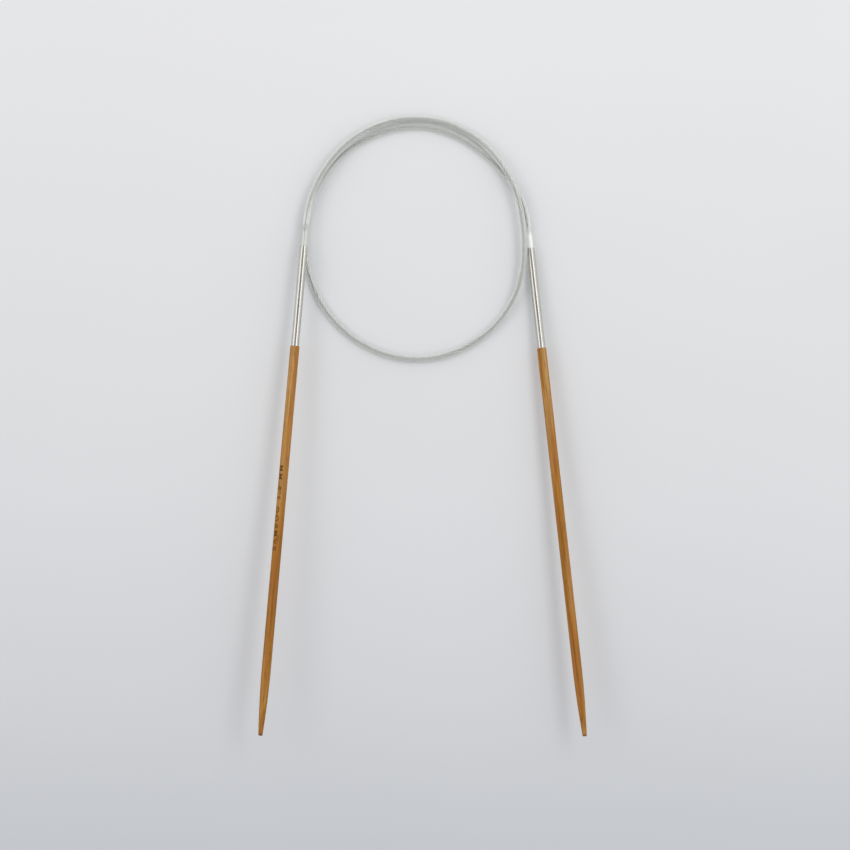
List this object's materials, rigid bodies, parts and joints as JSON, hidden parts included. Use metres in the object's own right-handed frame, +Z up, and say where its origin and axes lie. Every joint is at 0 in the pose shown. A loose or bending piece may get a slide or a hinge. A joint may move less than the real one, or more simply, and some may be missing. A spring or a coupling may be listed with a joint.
{
  "type": "circular knitting needle",
  "caption": "Circular knitting needle: tapered bamboo points in slim metal ferrules, joined by a jacketed steel cable laid in a loop.",
  "frame": {"origin": "on the table under the middle of the two needles, without the cable", "axes": "+Z up from the table, +Y from the needle points towards the cable loop, +X towards the right needle"},
  "size_m": [0.1233, 0.2337, 0.016],
  "materials": {
    "bamboo": "satin",
    "ferrule_metal": "polished",
    "crimp_steel": "satin",
    "rope_steel": "satin",
    "clear_jacket": "gloss",
    "clear_collar": "gloss"
  },
  "bodies": {
    "cable_loop": {"cable_rope": "rope_steel", "cable_jacket": "clear_jacket"},
    "left_cable_end": {"left_collar": "clear_collar", "left_crimp_sleeve": "crimp_steel", "left_flex_jacket": "clear_jacket", "left_flex_rope": "rope_steel"},
    "left_needle": {"left_shaft": "bamboo", "left_ferrule": "ferrule_metal"},
    "right_cable_end": {"right_collar": "clear_collar", "right_crimp_sleeve": "crimp_steel", "right_flex_jacket": "clear_jacket", "right_flex_rope": "rope_steel"},
    "right_needle": {"right_shaft": "bamboo", "right_ferrule": "ferrule_metal"}
  },
  "joints": [
    {"name": "left_bend", "type": "hinge", "parent": "cable_loop", "child": "left_cable_end", "pos_m": [-0.04261, 0.10851, 0.0041], "axis": [0, 0, 1], "range_deg": [-60, 12], "stiffness_Nm_per_rad": 0.02},
    {"name": "left_swivel", "type": "hinge", "parent": "left_cable_end", "child": "left_needle", "pos_m": [-0.0447, 0.0922, 0.0049], "axis": [-0.087, -0.9946, 0.0558], "continuous": true},
    {"name": "right_bend", "type": "hinge", "parent": "cable_loop", "child": "right_cable_end", "pos_m": [0.03807, 0.10762, 0.00125], "axis": [0, 0, 1], "range_deg": [0, 60], "stiffness_Nm_per_rad": 0.02},
    {"name": "right_swivel", "type": "hinge", "parent": "right_cable_end", "child": "right_needle", "pos_m": [0.0407, 0.0914, 0.002], "axis": [0.1096, -0.9927, 0.0506], "continuous": true}
  ]
}
